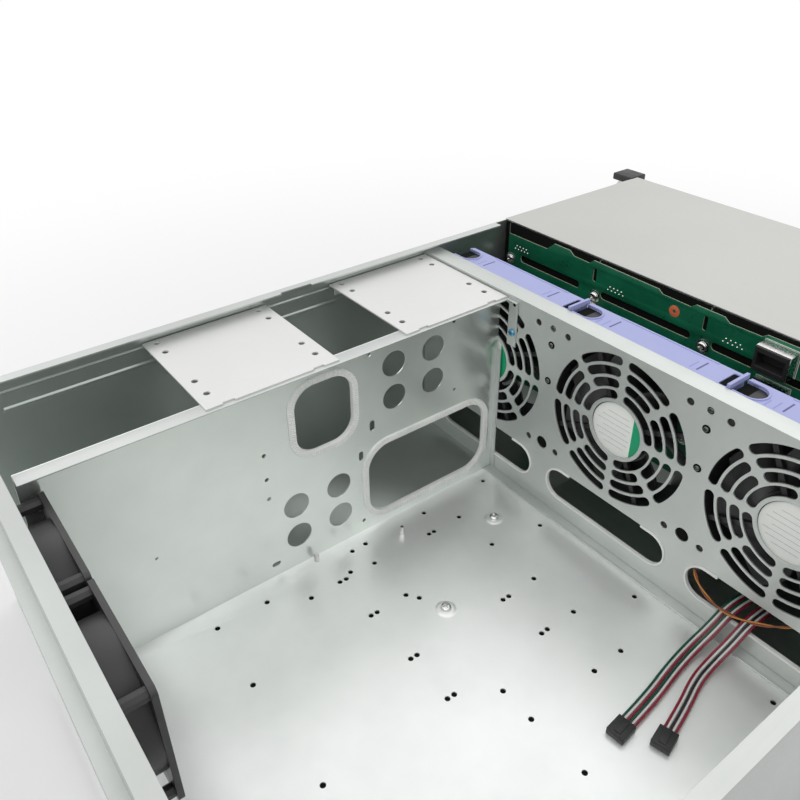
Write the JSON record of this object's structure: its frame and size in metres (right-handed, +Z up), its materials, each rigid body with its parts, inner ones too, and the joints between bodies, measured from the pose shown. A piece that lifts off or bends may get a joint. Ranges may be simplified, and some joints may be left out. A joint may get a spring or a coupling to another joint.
{
  "type": "rackmount server case",
  "caption": "Deep rackmount server case, lid off: hot-swap drive trays, backplane, lift-out fans behind a punched wall, divided supply channel, rear fans, card slots and rack ears.",
  "frame": {"origin": "centre of the flat underside of the case body, on the surface it stands on", "axes": "+Z up, -Y towards the front with the drive trays and rack ears, +Y towards the rear panel, +X to the right seen from the front"},
  "size_m": [0.4826, 0.6875, 0.1775],
  "materials": {
    "steel_body": "satin zinc-coated steel",
    "steel_plate": "satin zinc-coated steel, light",
    "steel_cover": "fine satin zinc-coated steel",
    "steel_screw": "nickel plated",
    "black_plastic": "fine moulded texture",
    "rotor_black": "smooth",
    "tray_lavender": "satin moulded",
    "board_green": "solder mask on laminate",
    "strip_grey": "flexible nylon edge strip",
    "wire_jacket": "wire insulation",
    "lead_jacket": "wire insulation",
    "clip_nylon": "nylon"
  },
  "bodies": {
    "case": {"backplane": "board_green", "backplane_connectors": "black_plastic", "bridge_plate_front": "steel_plate", "bridge_plate_rear": "steel_plate", "cable_slot_trims": "strip_grey", "cage_cover": "steel_cover", "case_screws": "steel_screw", "chassis": "steel_body", "divider_grommets": "strip_grey", "divider_wall": "steel_body", "drive_cage": "steel_body", "fan_lead": "lead_jacket", "fan_shelf": "steel_body", "fan_wall": "steel_body", "handle_left": "black_plastic", "handle_right": "black_plastic", "panel_wires": "wire_jacket", "rack_ear_left": "steel_body", "rack_ear_right": "steel_body", "rear_fan_frame_1": "black_plastic", "rear_fan_frame_2": "black_plastic", "rear_panel": "steel_body", "slot_covers": "steel_body", "wire_plug": "clip_nylon"},
    "fan_module_1": {"fan_tray_1": "tray_lavender", "fan_frame_1": "black_plastic"},
    "fan_1_rotor": {"fan_rotor_1": "rotor_black"},
    "fan_module_2": {"fan_tray_2": "tray_lavender", "fan_frame_2": "black_plastic"},
    "fan_2_rotor": {"fan_rotor_2": "rotor_black"},
    "fan_module_3": {"fan_tray_3": "tray_lavender", "fan_frame_3": "black_plastic"},
    "fan_3_rotor": {"fan_rotor_3": "rotor_black"},
    "rear_fan_1_rotor": {"rear_fan_rotor_1": "rotor_black"},
    "rear_fan_2_rotor": {"rear_fan_rotor_2": "rotor_black"},
    "power_button": {"power_button": "black_plastic"},
    "tray_1_1": {"drive_tray_1_1": "black_plastic"},
    "tray_1_2": {"drive_tray_1_2": "black_plastic"},
    "tray_1_3": {"drive_tray_1_3": "black_plastic"},
    "tray_1_4": {"drive_tray_1_4": "black_plastic"},
    "tray_1_5": {"drive_tray_1_5": "black_plastic"},
    "tray_1_6": {"drive_tray_1_6": "black_plastic"},
    "tray_2_1": {"drive_tray_2_1": "black_plastic"},
    "tray_2_2": {"drive_tray_2_2": "black_plastic"},
    "tray_2_3": {"drive_tray_2_3": "black_plastic"},
    "tray_2_4": {"drive_tray_2_4": "black_plastic"},
    "tray_2_5": {"drive_tray_2_5": "black_plastic"},
    "tray_2_6": {"drive_tray_2_6": "black_plastic"},
    "tray_3_1": {"drive_tray_3_1": "black_plastic"},
    "tray_3_2": {"drive_tray_3_2": "black_plastic"},
    "tray_3_3": {"drive_tray_3_3": "black_plastic"},
    "tray_3_4": {"drive_tray_3_4": "black_plastic"},
    "tray_3_5": {"drive_tray_3_5": "black_plastic"},
    "tray_3_6": {"drive_tray_3_6": "black_plastic"},
    "tray_4_1": {"drive_tray_4_1": "black_plastic"},
    "tray_4_2": {"drive_tray_4_2": "black_plastic"},
    "tray_4_3": {"drive_tray_4_3": "black_plastic"},
    "tray_4_4": {"drive_tray_4_4": "black_plastic"},
    "tray_4_5": {"drive_tray_4_5": "black_plastic"},
    "tray_4_6": {"drive_tray_4_6": "black_plastic"}
  },
  "joints": [
    {"name": "fan_module_1_slide", "type": "slide", "parent": "case", "child": "fan_module_1", "axis": [0, -1, 0], "range_m": [0, 0.02]},
    {"name": "fan_1_spin", "type": "hinge", "parent": "fan_module_1", "child": "fan_1_rotor", "pos_m": [0.131, -0.0687, 0.1076], "axis": [0, 1, 0], "continuous": true},
    {"name": "fan_module_2_slide", "type": "slide", "parent": "case", "child": "fan_module_2", "axis": [0, -1, 0], "range_m": [0, 0.02]},
    {"name": "fan_2_spin", "type": "hinge", "parent": "fan_module_2", "child": "fan_2_rotor", "pos_m": [0, -0.0687, 0.1076], "axis": [0, 1, 0], "continuous": true},
    {"name": "fan_module_3_slide", "type": "slide", "parent": "case", "child": "fan_module_3", "axis": [0, -1, 0], "range_m": [0, 0.02]},
    {"name": "fan_3_spin", "type": "hinge", "parent": "fan_module_3", "child": "fan_3_rotor", "pos_m": [-0.131, -0.0687, 0.1076], "axis": [0, 1, 0], "continuous": true},
    {"name": "rear_fan_1_spin", "type": "hinge", "parent": "case", "child": "rear_fan_1_rotor", "pos_m": [0.0785, 0.309, 0.1142], "axis": [0, 1, 0], "continuous": true},
    {"name": "rear_fan_2_spin", "type": "hinge", "parent": "case", "child": "rear_fan_2_rotor", "pos_m": [-0.002, 0.309, 0.1142], "axis": [0, 1, 0], "continuous": true},
    {"name": "power_button_press", "type": "slide", "parent": "case", "child": "power_button", "axis": [0, 1, 0], "range_m": [0, 0.0012], "stiffness_N_per_m": 600, "springref_m": -0.001},
    {"name": "tray_1_1_slide", "type": "slide", "parent": "case", "child": "tray_1_1", "axis": [0, -1, 0], "range_m": [0, 0.165]},
    {"name": "tray_1_2_slide", "type": "slide", "parent": "case", "child": "tray_1_2", "axis": [0, -1, 0], "range_m": [0, 0.165]},
    {"name": "tray_1_3_slide", "type": "slide", "parent": "case", "child": "tray_1_3", "axis": [0, -1, 0], "range_m": [0, 0.165]},
    {"name": "tray_1_4_slide", "type": "slide", "parent": "case", "child": "tray_1_4", "axis": [0, -1, 0], "range_m": [0, 0.165]},
    {"name": "tray_1_5_slide", "type": "slide", "parent": "case", "child": "tray_1_5", "axis": [0, -1, 0], "range_m": [0, 0.165]},
    {"name": "tray_1_6_slide", "type": "slide", "parent": "case", "child": "tray_1_6", "axis": [0, -1, 0], "range_m": [0, 0.165]},
    {"name": "tray_2_1_slide", "type": "slide", "parent": "case", "child": "tray_2_1", "axis": [0, -1, 0], "range_m": [0, 0.165]},
    {"name": "tray_2_2_slide", "type": "slide", "parent": "case", "child": "tray_2_2", "axis": [0, -1, 0], "range_m": [0, 0.165]},
    {"name": "tray_2_3_slide", "type": "slide", "parent": "case", "child": "tray_2_3", "axis": [0, -1, 0], "range_m": [0, 0.165]},
    {"name": "tray_2_4_slide", "type": "slide", "parent": "case", "child": "tray_2_4", "axis": [0, -1, 0], "range_m": [0, 0.165]},
    {"name": "tray_2_5_slide", "type": "slide", "parent": "case", "child": "tray_2_5", "axis": [0, -1, 0], "range_m": [0, 0.165]},
    {"name": "tray_2_6_slide", "type": "slide", "parent": "case", "child": "tray_2_6", "axis": [0, -1, 0], "range_m": [0, 0.165]},
    {"name": "tray_3_1_slide", "type": "slide", "parent": "case", "child": "tray_3_1", "axis": [0, -1, 0], "range_m": [0, 0.165]},
    {"name": "tray_3_2_slide", "type": "slide", "parent": "case", "child": "tray_3_2", "axis": [0, -1, 0], "range_m": [0, 0.165]},
    {"name": "tray_3_3_slide", "type": "slide", "parent": "case", "child": "tray_3_3", "axis": [0, -1, 0], "range_m": [0, 0.165]},
    {"name": "tray_3_4_slide", "type": "slide", "parent": "case", "child": "tray_3_4", "axis": [0, -1, 0], "range_m": [0, 0.165]},
    {"name": "tray_3_5_slide", "type": "slide", "parent": "case", "child": "tray_3_5", "axis": [0, -1, 0], "range_m": [0, 0.165]},
    {"name": "tray_3_6_slide", "type": "slide", "parent": "case", "child": "tray_3_6", "axis": [0, -1, 0], "range_m": [0, 0.165]},
    {"name": "tray_4_1_slide", "type": "slide", "parent": "case", "child": "tray_4_1", "axis": [0, -1, 0], "range_m": [0, 0.165]},
    {"name": "tray_4_2_slide", "type": "slide", "parent": "case", "child": "tray_4_2", "axis": [0, -1, 0], "range_m": [0, 0.165]},
    {"name": "tray_4_3_slide", "type": "slide", "parent": "case", "child": "tray_4_3", "axis": [0, -1, 0], "range_m": [0, 0.165]},
    {"name": "tray_4_4_slide", "type": "slide", "parent": "case", "child": "tray_4_4", "axis": [0, -1, 0], "range_m": [0, 0.165]},
    {"name": "tray_4_5_slide", "type": "slide", "parent": "case", "child": "tray_4_5", "axis": [0, -1, 0], "range_m": [0, 0.165]},
    {"name": "tray_4_6_slide", "type": "slide", "parent": "case", "child": "tray_4_6", "axis": [0, -1, 0], "range_m": [0, 0.165]}
  ]
}
